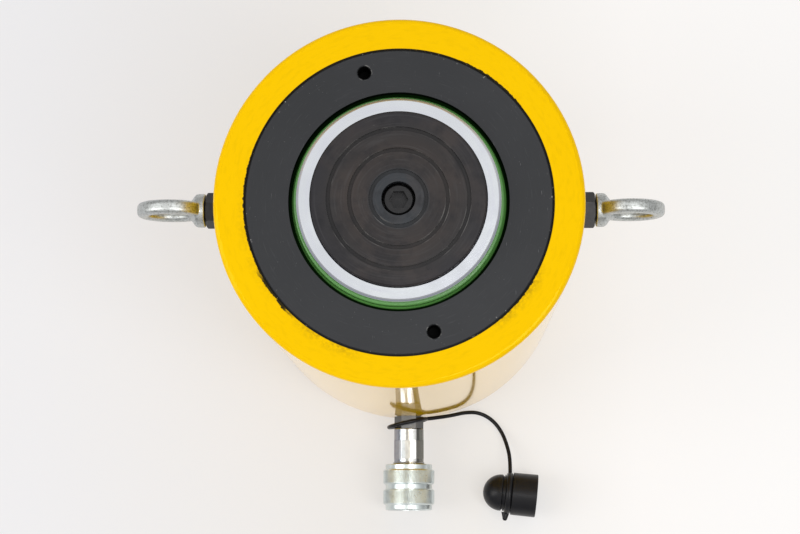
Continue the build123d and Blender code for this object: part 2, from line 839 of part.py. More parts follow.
# Sleeve: two knurled bands between plain lands, and a thread for the other half in its mouth
knurl_ends = [
    sleeve_start + sleeve_rear_land,
    sleeve_start + sleeve_rear_land + sleeve_knurl_lengths[0],
    sleeve_start + sleeve_rear_land + sleeve_knurl_lengths[0] + sleeve_groove_width,
    sleeve_start + sleeve_rear_land + sum(sleeve_knurl_lengths) + sleeve_groove_width,
]
thread_start = sleeve_end - sleeve_thread_length
with BuildPart() as coupler_sleeve:
    with BuildSketch(coupler_profile):
        with BuildLine():
            Polyline(
                (sleeve_start, body_diameter / 2 + slide_gap),
                (sleeve_start, sleeve_land_diameter / 2 - sleeve_edge_chamfer),
                (sleeve_start + sleeve_edge_chamfer, sleeve_land_diameter / 2),
                (knurl_ends[0], sleeve_land_diameter / 2),
                (knurl_ends[0], sleeve_diameter / 2 - knurl_chamfer),
                (knurl_ends[0] + knurl_chamfer, sleeve_diameter / 2),
                (knurl_ends[1] - knurl_chamfer, sleeve_diameter / 2),
                (knurl_ends[1], sleeve_diameter / 2 - knurl_chamfer),
                (knurl_ends[1], sleeve_land_diameter / 2),
                (knurl_ends[2], sleeve_land_diameter / 2),
                (knurl_ends[2], sleeve_diameter / 2 - knurl_chamfer),
                (knurl_ends[2] + knurl_chamfer, sleeve_diameter / 2),
                (knurl_ends[3] - knurl_chamfer, sleeve_diameter / 2),
                (knurl_ends[3], sleeve_diameter / 2 - knurl_chamfer),
                (knurl_ends[3], sleeve_land_diameter / 2),
                (sleeve_end, sleeve_land_diameter / 2),
                (sleeve_end, sleeve_thread_diameter / 2),
                (thread_start, sleeve_thread_diameter / 2),
                (thread_start, sleeve_relief_diameter / 2),
                (sleeve_start + sleeve_lip_thickness, sleeve_relief_diameter / 2),
                (sleeve_start + sleeve_lip_thickness, body_diameter / 2 + slide_gap),
                close=True,
            )
        make_face()
    revolve(axis=coupler_axis)
    front_rim = coupler_sleeve.edges().filter_by(GeomType.CIRCLE).group_by(Axis.Y)[0]
    fillet(front_rim.sort_by(SortBy.RADIUS)[-1], sleeve_front_round)
save(coupler_sleeve, "coupler_sleeve")


# Loop of the strap, hung on the adapter's hexagon
loop_centre = (
    coupler_loop_offset,
    -(barrel_radius + coupler_loop_out),
    port_height - coupler_loop_drop,
)
with BuildPart() as strap_coupler_loop:
    with BuildSketch(Plane(origin=loop_centre).rotated((0, 0, coupler_loop_turn))):
        with Locations((coupler_loop_radius, 0)):
            Circle(strap_diameter / 2)
    loop_direction = Vector(0, 1, 0).rotate(Axis.Z, coupler_loop_turn)
    revolve(axis=Axis(loop_centre, loop_direction))
save(strap_coupler_loop, "strap_coupler_loop")


# Strap: one tube along its route, with each corner an arc as large as its runs allow
route = [Vector(*point) for point in strap_route]
strap_radii = []
for before, corner, after in zip(route, route[1:], route[2:]):
    turn = (corner - before).get_angle(after - corner)
    shorter_run = min((corner - before).length, (after - corner).length)
    strap_radii.append(strap_corner_share * shorter_run / tan(radians(turn / 2)))
print("strap radii", [round(radius, 1) for radius in strap_radii])
with BuildPart() as strap:
    with BuildLine() as strap_path:
        FilletPolyline(*strap_route, radius=strap_radii)
    with BuildSketch(Plane(origin=strap_path.line @ 0, z_dir=strap_path.line % 0)):
        Circle(strap_diameter / 2)
    sweep()
print("strap length", round(strap_path.wires()[0].length, 1))
save(strap, "strap")


# Dust cap, lying on the lower side of its skirt, with its mouth towards +X
cap_skirt_radius = sleeve_thread_diameter / 2 - cap_skirt_gap
cap_axis_height = cap_skirt_radius + cap_flare + floor_gap
cap_origin = Vector(cap_tip_x, cap_tip_y, cap_axis_height)
cap_direction = Vector(1, 0, 0).rotate(Axis.Z, cap_axis_turn)
cap_side = Vector(0, 1, 0).rotate(Axis.Z, cap_axis_turn)
cap_axis = Axis(cap_origin, cap_direction)
cap_profile = Plane(origin=cap_origin, x_dir=cap_direction, z_dir=-cap_side)
cap_waist_start = cap_dome_radius + cap_dome_round
cap_rib_start = cap_waist_start + cap_waist_width
cap_neck_start = cap_rib_start + cap_rib_width
cap_skirt_start = cap_neck_start + cap_neck_width
cap_neck_radius = cap_neck_diameter / 2
cap_mouth = cap_skirt_start + cap_skirt_length
with BuildPart() as dust_cap:
    with BuildSketch(cap_profile):
        with BuildLine():
            dome = CenterArc((cap_dome_radius, 0), cap_dome_radius, 180, -90)
            dome_edge = RadiusArc(
                dome @ 1, (cap_waist_start, cap_neck_radius), cap_dome_edge_radius
            )
            Polyline(
                dome_edge @ 1,
                (cap_rib_start, cap_neck_radius),
                (cap_rib_start, cap_neck_radius + cap_rib_proud),
                (cap_neck_start, cap_neck_radius + cap_rib_proud),
                (cap_neck_start, cap_neck_radius),
                (cap_skirt_start, cap_neck_radius),
                (cap_skirt_start, cap_skirt_radius),
                (cap_mouth, cap_skirt_radius + cap_flare),
                (cap_mouth, cap_bore_diameter / 2),
                (cap_mouth - cap_bore_depth, cap_bore_diameter / 2),
                (cap_mouth - cap_bore_depth, 0),
                dome @ 0,
            )
        make_face()
    revolve(axis=cap_axis)
    fillet(
        dust_cap.edges().filter_by(GeomType.CIRCLE).sort_by(SortBy.RADIUS)[-2:],
        cap_edge_round,
    )
save(dust_cap, "dust_cap")


# Loop of the strap in the cap's neck, with a nub to pull on
cap_loop_along = cap_neck_start + cap_neck_width / 2
cap_loop_radius = cap_neck_radius + seat_gap + cap_loop_thickness / 2
with BuildPart() as strap_cap_loop:
    with BuildSketch(cap_profile):
        with Locations((cap_loop_along, cap_loop_radius)):
            Ellipse(cap_loop_width / 2, cap_loop_thickness / 2)
    revolve(axis=cap_axis)
    nub_along = cap_loop_along + cap_nub_offset
    nub_plane = Plane(
        origin=cap_origin + cap_direction * nub_along - cap_side * cap_loop_radius,
        x_dir=cap_direction,
        z_dir=-cap_side,
    )
    with BuildSketch(nub_plane):
        Ellipse(cap_nub_root, cap_nub_radius)
    with BuildSketch(nub_plane.offset(cap_nub_length)):
        Circle(cap_nub_radius)
    loft()
    with Locations(nub_plane.offset(cap_nub_length)):
        Sphere(cap_nub_radius)
save(strap_cap_loop, "strap_cap_loop")
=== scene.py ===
from math import cos, radians, sin, tau

import bmesh
import bpy
from mathutils import Matrix, Vector


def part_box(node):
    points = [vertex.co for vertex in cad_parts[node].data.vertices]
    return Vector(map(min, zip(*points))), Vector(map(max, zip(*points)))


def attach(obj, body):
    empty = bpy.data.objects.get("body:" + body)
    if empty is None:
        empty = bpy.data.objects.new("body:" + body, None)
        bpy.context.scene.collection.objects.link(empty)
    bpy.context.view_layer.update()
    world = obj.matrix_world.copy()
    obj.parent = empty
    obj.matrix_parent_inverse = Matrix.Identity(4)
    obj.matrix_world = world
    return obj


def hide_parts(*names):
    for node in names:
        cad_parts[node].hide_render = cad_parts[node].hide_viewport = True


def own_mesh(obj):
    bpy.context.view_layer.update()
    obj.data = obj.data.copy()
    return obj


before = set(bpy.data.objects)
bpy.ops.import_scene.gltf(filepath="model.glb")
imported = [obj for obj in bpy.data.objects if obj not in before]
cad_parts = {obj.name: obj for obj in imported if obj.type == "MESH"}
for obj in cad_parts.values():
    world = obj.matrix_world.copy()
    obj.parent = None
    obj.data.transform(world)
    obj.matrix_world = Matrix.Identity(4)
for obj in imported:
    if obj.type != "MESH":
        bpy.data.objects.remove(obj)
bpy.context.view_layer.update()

# The looks of a load-return hydraulic cylinder: its finishes, knurls, threads, strap, floor and light.
# Lengths are in metres, in the same frame as the construction: the origin is the centre of the
# base, +Z points up to the saddle, -Y to the coupler, and the lifting eyes lie along X.

MM = 0.001

# The camera looks down on the saddle from a little in front of the coupler.
CAMERA_PLACE = Vector((30.549, -193.812, 1559.745)) * MM
CAMERA_RIGHT = Vector((0.99971, 0.00151, -0.02406))
CAMERA_UP = Vector((0.00151, 0.99216, 0.12494))
SENSOR_WIDTH = 36.0
CAMERA_LENS = 95.58

# Places that follow from the construction
BARREL_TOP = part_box("cylinder_body")[1].z
RING_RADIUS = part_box("stop_ring")[1].x
SLEEVE_LOW, SLEEVE_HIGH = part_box("coupler_sleeve")
SPRING_LOW, SPRING_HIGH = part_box("coupler_spring")
SADDLE_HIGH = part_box("saddle")[1]
SADDLE_RADIUS = SADDLE_HIGH.x
COUPLER_HEIGHT = (SLEEVE_LOW.z + SLEEVE_HIGH.z) / 2
PLUNGER_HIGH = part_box("plunger")[1]
SPANNER_RADIUS = 79.5 * MM
SPANNER_ANGLE = 105
SPANNER_HOLE_RADIUS = 3.75 * MM
WIPER_SEAT_RADIUS = 64.9 * MM
BODY_RADIUS = 10.6 * MM
GROOVE_RADII = (17.5 * MM, 29.95 * MM, 42.4 * MM)
GROOVE_WIDTH = 2.4 * MM
SLEEVE_RADIUS = (SLEEVE_HIGH.x - SLEEVE_LOW.x) / 2
SPRING_WIRE = 1.1 * MM
SPRING_TURNS = 5.5

FLOOR_SIZE = 16
FLOOR_GAP = 0.1 * MM

# The strap's route, chosen along its centre line, from the coupler's loop to the cap's.
STRAP_ROUTE = [
    (0.0134, -0.1110, 0.0264),
    (0.0226, -0.1097, 0.0226),
    (0.0314, -0.1079, 0.0152),
    (0.0402, -0.1054, 0.0074),
    (0.0504, -0.1050, 0.0022),
    (0.0602, -0.1100, 0.0018),
    (0.0672, -0.1188, 0.0030),
    (0.0712, -0.1294, 0.0066),
    (0.0732, -0.1396, 0.0118),
    (0.0730, -0.1494, 0.0156),
]
STRAP_DIAMETER = 2.8 * MM

# The forged eyes: places out along the x axis, and the ring's section
EYE_HEIGHT = 294 * MM
EYE_COLLAR_FACE = 117.5 * MM
EYE_CENTRE = 138.5 * MM
EYE_RING = (12.5 * MM, 20.5 * MM)
EYE_HALF_WIDTH = 4.3 * MM
EYE_EDGE = 2.9 * MM
EYE_CORNER_STEPS = 5
EYE_GRAIN = 0.4 * MM
LATHE_STEPS = 96
# The bolt's outline in mm from its end to its neck: along from the collar's face, and out
EYE_OUTLINE = [
    (-22.0, 4.8),
    (-20.8, 6.0),
    (0.0, 6.0),
    (0.0, 9.6),
    (0.6, 10.2),
    (4.2, 10.2),
    (5.4, 9.9),
    (6.4, 9.1),
    (7.2, 8.0),
    (7.8, 6.9),
    (8.8, 6.2),
]


def place_camera():
    """The camera at the photograph's viewing angle."""
    lens = bpy.data.cameras.new("camera")
    lens.sensor_width = SENSOR_WIDTH
    lens.lens = CAMERA_LENS
    lens.clip_start = 0.01
    camera = bpy.data.objects.new("camera", lens)
    back = CAMERA_RIGHT.cross(CAMERA_UP)
    turn = Matrix((CAMERA_RIGHT, CAMERA_UP, back)).transposed()
    camera.matrix_world = Matrix.Translation(CAMERA_PLACE) @ turn.to_4x4()
    bpy.context.scene.collection.objects.link(camera)
    bpy.context.scene.camera = camera


class Finish:
    """A material built up from a principled shader, with patterns on the piece's own coordinates."""

    def __init__(self, name, color, roughness, metallic=0.0, specular=0.5):
        self.material = bpy.data.materials.new(name)
        self.material.use_nodes = True
        self.tree = self.material.node_tree
        self.shader = self.tree.nodes["Principled BSDF"]
        self.shader.inputs["Base Color"].default_value = (*color, 1)
        self.shader.inputs["Roughness"].default_value = roughness
        self.shader.inputs["Metallic"].default_value = metallic
        self.shader.inputs["Specular IOR Level"].default_value = specular
        self.object_place = self.node("ShaderNodeTexCoord").outputs["Object"]
        self.height = None

    def node(self, kind, inputs=(), **settings):
        """Add a node, set its settings, and set or link its inputs by name or number."""
        made = self.tree.nodes.new(kind)
        for key, value in settings.items():
            setattr(made, key, value)
        for key, value in dict(inputs).items():
            if isinstance(value, bpy.types.NodeSocket):
                self.tree.links.new(value, made.inputs[key])
            else:
                made.inputs[key].default_value = value
        return made

    def math(self, operation, first, second=0.0, third=0.0, clamp=False):
        """One sum on values or sockets."""
        made = self.node("ShaderNodeMath", {0: first, 1: second, 2: third}, operation=operation)
        made.use_clamp = clamp
        return made.outputs[0]

    def placed(self, centre=(0, 0, 0), stretch=(1, 1, 1), turn=(0, 0, 0)):
        """The piece's coordinates, moved to a centre, turned and stretched."""
        shifted = self.node(
            "ShaderNodeVectorMath", {0: self.object_place, 1: centre}, operation="SUBTRACT"
        )
        return self.node(
            "ShaderNodeMapping",
            {"Vector": shifted.outputs[0], "Rotation": turn, "Scale": stretch},
        ).outputs[0]

    def noise(self, scale, place=None, detail=3.0, roughness=0.55):
        """Soft irregular cells, about 1 / scale metres across."""
        return self.node(
            "ShaderNodeTexNoise",
            {
                "Vector": place or self.object_place,
                "Scale": scale,
                "Detail": detail,
                "Roughness": roughness,
            },
        ).outputs["Fac"]

    def dots(self, scale, place=None):
        """The distance to the nearest of many scattered points, in cells."""
        return self.node(
            "ShaderNodeTexVoronoi", {"Vector": place or self.object_place, "Scale": scale}
        ).outputs["Distance"]

    def radius(self, centre=(0, 0, 0), along="z"):
        """The distance from an axis through a point, in metres."""
        stretch = tuple(0 if axis == along else 1 for axis in "xyz")
        place = self.placed(centre, stretch)
        return self.node("ShaderNodeVectorMath", {0: place}, operation="LENGTH").outputs["Value"]

    def axis(self, name):
        """One of the piece's own coordinates, in metres."""
        return self.node("ShaderNodeSeparateXYZ", {0: self.object_place}).outputs[name.upper()]

    def rings(self, scale, radius, detail=2.0):
        """Uneven concentric marks, as a lathe leaves them."""
        across = self.node("ShaderNodeCombineXYZ", {0: radius})
        return self.noise(scale, across.outputs[0], detail)

    def outward(self):
        """The direction outward from the z axis, as a unit vector."""
        flat = self.placed(stretch=(1, 1, 0))
        return self.node("ShaderNodeVectorMath", {0: flat}, operation="NORMALIZE").outputs[0]

    def swept(self, around, across):
        """Coordinates for streaks that run round the z axis: cells a turn, and cells a metre outward."""
        parts = self.node("ShaderNodeSeparateXYZ", {0: self.outward()})
        cells = around / tau
        return self.node(
            "ShaderNodeCombineXYZ",
            {
                0: self.math("MULTIPLY", parts.outputs["X"], cells),
                1: self.math("MULTIPLY", parts.outputs["Y"], cells),
                2: self.math("MULTIPLY", self.radius(), across),
            },
        ).outputs[0]

    def toward(self, angle, spread):
        """1 in a direction round the z axis and 0 beyond its spread, both in degrees."""
        way = (cos(radians(angle)), sin(radians(angle)), 0)
        facing = self.node(
            "ShaderNodeVectorMath", {0: self.outward(), 1: way}, operation="DOT_PRODUCT"
        ).outputs["Value"]
        return self.band(facing, cos(radians(spread)), cos(radians(spread / 2)))

    def highest(self, *values):
        """The highest of several values."""
        best = values[0]
        for value in values[1:]:
            best = self.math("MAXIMUM", best, value)
        return best

    def product(self, *values):
        """The product of several values."""
        result = values[0]
        for value in values[1:]:
            result = self.math("MULTIPLY", result, value)
        return result

    def band(self, value, low, high):
        """A value from 0 at low to 1 at high."""
        return self.node(
            "ShaderNodeMapRange", {"Value": value, "From Min": low, "From Max": high}
        ).outputs[0]

    def ramp(self, value, stops):
        """Colours along a value: a list of places and colours."""
        made = self.node("ShaderNodeValToRGB", {0: value})
        points = made.color_ramp.elements
        while len(points) < len(stops):
            points.new(0.5)
        for point, (place, color) in zip(points, stops):
            point.position = place
            point.color = (*color, 1)
        return made.outputs["Color"]

    def mix(self, factor, first, second):
        """A colour between two colours."""
        made = self.node("ShaderNodeMix", data_type="RGBA")
        for key, value in ((0, factor), (6, first), (7, second)):
            if isinstance(value, bpy.types.NodeSocket):
                self.tree.links.new(value, made.inputs[key])
            elif key == 0:
                made.inputs[key].default_value = value
            else:
                made.inputs[key].default_value = (*value, 1)
        return made.outputs[2]

    def set(self, name, value):
        """Lead a pattern into one of the shader's inputs."""
        self.tree.links.new(value, self.shader.inputs[name])

    def relief(self, height, depth, strength=1.0):
        """Add a fine relief, of a depth in metres, on top of what the surface has."""
        inputs = {"Height": height, "Distance": depth, "Strength": strength}
        if self.height:
            inputs["Normal"] = self.height
        self.height = self.node("ShaderNodeBump", inputs).outputs[0]
        self.tree.links.new(self.height, self.shader.inputs["Normal"])


def yellow_enamel():
    """Gloss enamel on the barrel, with black strayed over the joint with the stop ring."""
    finish = Finish("yellow_enamel", (0.95, 0.57, 0.0), 0.08, specular=0.3)
    finish.shader.inputs["Specular Tint"].default_value = (1.0, 0.75, 0.12, 1.0)
    color = finish.mix(finish.noise(9, detail=2), (0.935, 0.55, 0.0), (0.965, 0.59, 0.0))
    radius = finish.radius()
    at_top = finish.band(finish.axis("z"), BARREL_TOP - 3 * MM, BARREL_TOP - 0.5 * MM)
    # Faint streaks from wiping, that run round the top face
    streaks = finish.noise(1.0, finish.swept(90, 500), detail=4)
    wiped = finish.product(finish.band(streaks, 0.50, 0.72), at_top, 0.16)
    color = finish.mix(wiped, color, (0.60, 0.33, 0.0))
    # A thin black line at the joint, with a ragged edge on the left
    rough = finish.highest(finish.toward(190, 34), finish.toward(321, 14), finish.toward(52, 16))
    ragged = finish.math("MULTIPLY", finish.noise(520, detail=4), 2.2 * MM)
    reach = finish.math("MULTIPLY", finish.math("SUBTRACT", ragged, 0.8 * MM), rough)
    beyond = finish.math("SUBTRACT", radius, RING_RADIUS)
    overrun = finish.math("SUBTRACT", beyond, finish.math("MAXIMUM", reach, 0.0))
    line = finish.band(overrun, 0.55 * MM, 0.30 * MM)
    # Flakes where the black has run and chipped, at the lower left
    flakes = finish.band(finish.noise(300, detail=5, roughness=0.7), 0.38, 0.42)
    edge = finish.math("MULTIPLY", finish.noise(190, detail=4), 5.2 * MM)
    within = finish.band(finish.math("SUBTRACT", beyond, edge), -0.7 * MM, -1.1 * MM)
    run = finish.product(finish.toward(217, 12), within, flakes)
    black = finish.product(finish.highest(line, run), at_top)
    # Brown smears beside the joint
    cloud = finish.band(finish.noise(320, detail=5, roughness=0.7), 0.40, 0.72)
    fading = finish.band(beyond, 6.5 * MM, 0.3 * MM)
    smeared = finish.highest(
        finish.toward(243, 15), finish.toward(321, 16), finish.math("MULTIPLY", finish.toward(200, 30), 0.4)
    )
    smear = finish.product(cloud, fading, smeared, at_top, 0.75)
    color = finish.mix(smear, color, (0.09, 0.055, 0.01))
    color = finish.mix(black, color, (0.012, 0.011, 0.009))
    finish.set("Base Color", color)
    finish.set("Roughness", finish.math("MULTIPLY_ADD", finish.noise(40), 0.07, 0.02))
    finish.relief(finish.noise(170, detail=1), 0.006 * MM, 0.4)
    return finish.material


def black_ring_paint():
    """Satin black on the turned stop ring, with faint arcs, dust, worn hole edges, and painted shade, near
    black, in its holes and the wiper's seat.
    """
    finish = Finish("black_ring_paint", (0.022, 0.023, 0.025), 0.45, specular=0.28)
    radius = finish.radius()
    color = finish.mix(finish.noise(22, detail=4), (0.0185, 0.0195, 0.022), (0.030, 0.031, 0.034))
    arcs = finish.band(finish.noise(1.0, finish.swept(45, 1500), detail=3), 0.60, 0.80)
    color = finish.mix(finish.math("MULTIPLY", arcs, 0.35), color, (0.075, 0.076, 0.08))
    dust = finish.band(finish.dots(420), 0.10, 0.04)
    chance = finish.band(finish.noise(160, detail=1), 0.52, 0.62)
    color = finish.mix(finish.product(dust, chance, 0.4), color, (0.30, 0.30, 0.30))
    scratches = finish.band(finish.noise(900, finish.placed(stretch=(1, 0.12, 1)), detail=3), 0.68, 0.72)
    color = finish.mix(finish.product(scratches, chance, 0.5), color, (0.22, 0.22, 0.23))
    chips = finish.band(finish.noise(330, detail=4), 0.66, 0.69)
    at_rim = finish.band(radius, RING_RADIUS - 3.0 * MM, RING_RADIUS - 0.8 * MM)
    chipped = finish.product(chips, at_rim)
    # The two spanner holes: worn at their edge, with painted shade, near black, down in them
    across = finish.placed(turn=(0, 0, -radians(SPANNER_ANGLE)))
    parts = finish.node("ShaderNodeSeparateXYZ", {0: across})
    along = finish.math("SUBTRACT", finish.math("ABSOLUTE", parts.outputs["X"]), SPANNER_RADIUS)
    aside = finish.node("ShaderNodeCombineXYZ", {0: along, 1: parts.outputs["Y"]})
    from_hole = finish.node(
        "ShaderNodeVectorMath", {0: aside.outputs[0]}, operation="LENGTH"
    ).outputs["Value"]
    worn = finish.product(
        finish.band(from_hole, SPANNER_HOLE_RADIUS + 1.1 * MM, SPANNER_HOLE_RADIUS + 0.7 * MM),
        finish.band(from_hole, SPANNER_HOLE_RADIUS + 0.3 * MM, SPANNER_HOLE_RADIUS + 0.6 * MM),
        finish.band(finish.noise(330, detail=3), 0.48, 0.62),
        0.5,
    )
    color = finish.mix(finish.highest(chipped, worn), color, (0.36, 0.35, 0.33))
    hole_painted_shade = finish.product(
        finish.band(finish.axis("z"), BARREL_TOP - 0.2 * MM, BARREL_TOP - 0.7 * MM),
        finish.band(from_hole, SPANNER_HOLE_RADIUS + 0.9 * MM, SPANNER_HOLE_RADIUS + 0.6 * MM),
    )
    color = finish.mix(hole_painted_shade, color, (0.003, 0.003, 0.003))
    # Painted shade, near black, in the wiper's seat too
    seat_painted_shade = finish.band(radius, WIPER_SEAT_RADIUS + 0.12 * MM, WIPER_SEAT_RADIUS + 0.04 * MM)
    color = finish.mix(seat_painted_shade, color, (0.004, 0.005, 0.004))
    finish.set("Base Color", color)
    # Less sheen where the shade is painted
    painted_shade_places = finish.highest(hole_painted_shade, seat_painted_shade)
    finish.set("Specular IOR Level", finish.math("MULTIPLY_ADD", painted_shade_places, -0.24, 0.28))
    finish.set("Roughness", finish.math("MULTIPLY_ADD", finish.noise(70), 0.16, 0.38))
    finish.relief(finish.rings(2600, radius), 0.012 * MM, 0.5)
    finish.relief(finish.noise(1500, detail=2), 0.015 * MM, 0.4)
    return finish.material


def hard_chrome():
    """Ground and plated steel of the plunger, with a painted bluish reflection round the edge of its face.
    """
    finish = Finish("hard_chrome", (0.78, 0.80, 0.85), 0.2, metallic=1.0)
    smear = finish.noise(45, detail=3)
    color = finish.mix(smear, (0.62, 0.64, 0.69), (0.76, 0.79, 0.81))
    streaks = finish.band(finish.noise(1.0, finish.swept(14, 420), detail=2), 0.42, 0.66)
    color = finish.mix(finish.math("MULTIPLY", streaks, 0.5), color, (0.65, 0.66, 0.74))
    # A painted reflection: the bevelled edge darker and bluer than the face
    chamfer_painted_reflection = finish.product(
        finish.band(finish.radius(), PLUNGER_HIGH.x - 0.9 * MM, PLUNGER_HIGH.x - 0.6 * MM),
        finish.band(finish.axis("z"), PLUNGER_HIGH.z - 1.3 * MM, PLUNGER_HIGH.z - 1.0 * MM),
    )
    finish.set("Base Color", finish.mix(chamfer_painted_reflection, color, (0.46, 0.50, 0.64)))
    finish.set("Roughness", finish.math("MULTIPLY_ADD", finish.noise(120), 0.10, 0.12))
    finish.relief(finish.rings(3200, finish.radius()), 0.006 * MM, 0.5)
    return finish.material


def saddle_steel():
    """Blackened steel of the saddle: bluish hub, brown middle, stains, small bright nicks, and painted shade
    in its grooves.
    """
    finish = Finish("saddle_steel", (0.04, 0.038, 0.036), 0.34, specular=0.24)
    radius = finish.radius()
    tone = finish.ramp(
        finish.math("DIVIDE", radius, SADDLE_RADIUS),
        [
            (0.0, (0.034, 0.038, 0.044)),
            (0.33, (0.034, 0.038, 0.044)),
            (0.36, (0.030, 0.026, 0.026)),
            (0.58, (0.036, 0.029, 0.027)),
            (0.80, (0.026, 0.024, 0.025)),
            (1.0, (0.022, 0.021, 0.025)),
        ],
    )
    warm = finish.band(finish.noise(30, detail=4), 0.45, 0.70)
    color = finish.mix(finish.math("MULTIPLY", warm, 0.6), tone, (0.056, 0.043, 0.038))
    stain = finish.band(finish.noise(52, detail=6, roughness=0.65), 0.48, 0.64)
    color = finish.mix(finish.math("MULTIPLY", stain, 0.7), color, (0.012, 0.0115, 0.014))
    turned = finish.band(finish.noise(1.0, finish.swept(9, 900), detail=3), 0.52, 0.74)
    color = finish.mix(finish.math("MULTIPLY", turned, 0.3), color, (0.075, 0.073, 0.075))
    specks = finish.band(finish.noise(520, detail=4), 0.73, 0.76)
    color = finish.mix(finish.math("MULTIPLY", specks, 0.4), color, (0.20, 0.19, 0.18))
    # The grooves: painted shade on their floors and in the other hollows below the face, and edges rubbed
    # bright in places
    from_groove = None
    for outer in GROOVE_RADII:
        off = finish.math("ABSOLUTE", finish.math("SUBTRACT", radius, outer - GROOVE_WIDTH / 2))
        from_groove = finish.math("MINIMUM", from_groove, off) if from_groove else off
    sunk = finish.band(finish.axis("z"), SADDLE_HIGH.z - 0.15 * MM, SADDLE_HIGH.z - 1.0 * MM)
    groove_painted_shade = finish.product(sunk, finish.band(radius, SADDLE_RADIUS - 0.3 * MM, SADDLE_RADIUS - 0.8 * MM))
    color = finish.mix(finish.math("MULTIPLY", groove_painted_shade, 0.45), color, (0.010, 0.010, 0.011))
    off_edge = finish.math("ABSOLUTE", finish.math("SUBTRACT", from_groove, GROOVE_WIDTH / 2))
    rubbed = finish.product(
        finish.band(off_edge, 0.38 * MM, 0.10 * MM),
        finish.band(finish.noise(48, detail=6, roughness=0.65), 0.50, 0.66),
        0.6,
    )
    color = finish.mix(rubbed, color, (0.24, 0.23, 0.22))
    finish.set("Base Color", color)
    finish.set("Roughness", finish.math("MULTIPLY_ADD", finish.noise(90), 0.2, 0.22))
    finish.relief(finish.rings(2400, radius), 0.02 * MM, 0.6)
    finish.relief(finish.noise(420, detail=3), 0.02 * MM, 0.4)
    return finish.material


def zinc_plate(name, tint, roughness):
    """Zinc plate on the coupler's turned steel, a little green, with dull patches."""
    finish = Finish(name, tint, roughness, metallic=1.0)
    dull = finish.band(finish.noise(150, detail=4), 0.35, 0.7)
    darker = tuple(0.72 * channel for channel in tint)
    finish.set("Base Color", finish.mix(finish.math("MULTIPLY", dull, 0.7), tint, darker))
    finish.set("Roughness", finish.math("MULTIPLY_ADD", finish.noise(260), 0.16, roughness - 0.08))
    finish.relief(finish.rings(3000, finish.axis("y")), 0.008 * MM, 0.4)
    return finish.material


def plate_with_painted_reflections():
    """Zinc plate of the coupler's body, with painted highlights and painted dark reflections in bands across
    its width, and tarnish stains.
    """
    finish = Finish("plate_with_painted_reflections", (0.6, 0.6, 0.6), 0.2, metallic=1.0)
    side = finish.band(finish.axis("x"), -BODY_RADIUS, BODY_RADIUS)
    # Painted reflections: light and dark bands across the body's width stand in for the highlights and dark
    # things it mirrors
    tone = finish.ramp(
        side,
        [
            (0.0, (0.30, 0.30, 0.33)),
            (0.17, (0.36, 0.37, 0.40)),
            (0.20, (0.54, 0.57, 0.61)),
            (0.34, (0.53, 0.56, 0.57)),
            (0.42, (0.47, 0.46, 0.43)),
            (0.53, (0.50, 0.49, 0.44)),
            (0.57, (0.92, 0.92, 0.90)),
            (0.74, (0.90, 0.90, 0.88)),
            (0.78, (0.15, 0.15, 0.14)),
            (1.0, (0.20, 0.20, 0.18)),
        ],
    )
    stains = finish.band(finish.noise(420, detail=5, roughness=0.65), 0.48, 0.72)
    finish.set("Base Color", finish.mix(finish.math("MULTIPLY", stains, 0.4), tone, (0.20, 0.20, 0.20)))
    finish.set("Roughness", finish.math("MULTIPLY_ADD", finish.noise(300), 0.14, 0.16))
    finish.relief(finish.noise(900, detail=3), 0.02 * MM, 0.4)
    return finish.material


def forged_zinc():
    """Zinc plate over the rough skin of a forged eye, darker in the hollows of its skin and lighter on its
    rises.
    """
    finish = Finish("forged_zinc", (0.55, 0.56, 0.56), 0.3, metallic=1.0)
    skin = finish.noise(900, detail=5, roughness=0.7)
    color = finish.ramp(
        skin,
        [
            (0.0, (0.08, 0.08, 0.07)),
            (0.38, (0.26, 0.265, 0.25)),
            (0.45, (0.47, 0.485, 0.47)),
            (0.62, (0.58, 0.60, 0.59)),
            (1.0, (0.74, 0.76, 0.75)),
        ],
    )
    finish.set("Base Color", color)
    finish.set("Roughness", finish.math("MULTIPLY_ADD", finish.noise(420), 0.24, 0.27))
    finish.relief(finish.noise(190, detail=2), 0.10 * MM, 0.5)
    finish.relief(skin, 0.07 * MM, 0.6)
    return finish.material


def black_oxide():
    """Oiled black oxide on screws and nuts."""
    finish = Finish("black_oxide", (0.02, 0.02, 0.022), 0.32, metallic=0.6)
    finish.set("Base Color", finish.mix(finish.noise(300), (0.012, 0.012, 0.014), (0.035, 0.034, 0.034)))
    finish.set("Roughness", finish.math("MULTIPLY_ADD", finish.noise(500), 0.2, 0.22))
    finish.relief(finish.noise(1300, detail=2), 0.02 * MM, 0.4)
    return finish.material


def turned_steel(name, color, roughness):
    """Bare turned steel of the inner pieces."""
    finish = Finish(name, color, roughness, metallic=1.0)
    darker = tuple(0.8 * channel for channel in color)
    finish.set("Base Color", finish.mix(finish.noise(60, detail=4), darker, color))
    finish.set("Roughness", finish.math("MULTIPLY_ADD", finish.noise(200), 0.12, roughness - 0.06))
    finish.relief(finish.rings(1800, finish.radius()), 0.015 * MM, 0.5)
    return finish.material


def moulded(name, color, roughness, grain=900, depth=0.02, specular=0.5):
    """Moulded rubber or resin with a fine grain."""
    finish = Finish(name, color, roughness, specular=specular)
    darker = tuple(0.75 * channel for channel in color)
    lighter = tuple(min(1.0, 1.2 * channel) for channel in color)
    finish.set("Base Color", finish.mix(finish.noise(80, detail=4), darker, lighter))
    finish.set("Roughness", finish.math("MULTIPLY_ADD", finish.noise(350), 0.18, roughness - 0.09))
    finish.relief(finish.noise(grain, detail=2), depth * MM, 0.5)
    return finish.material


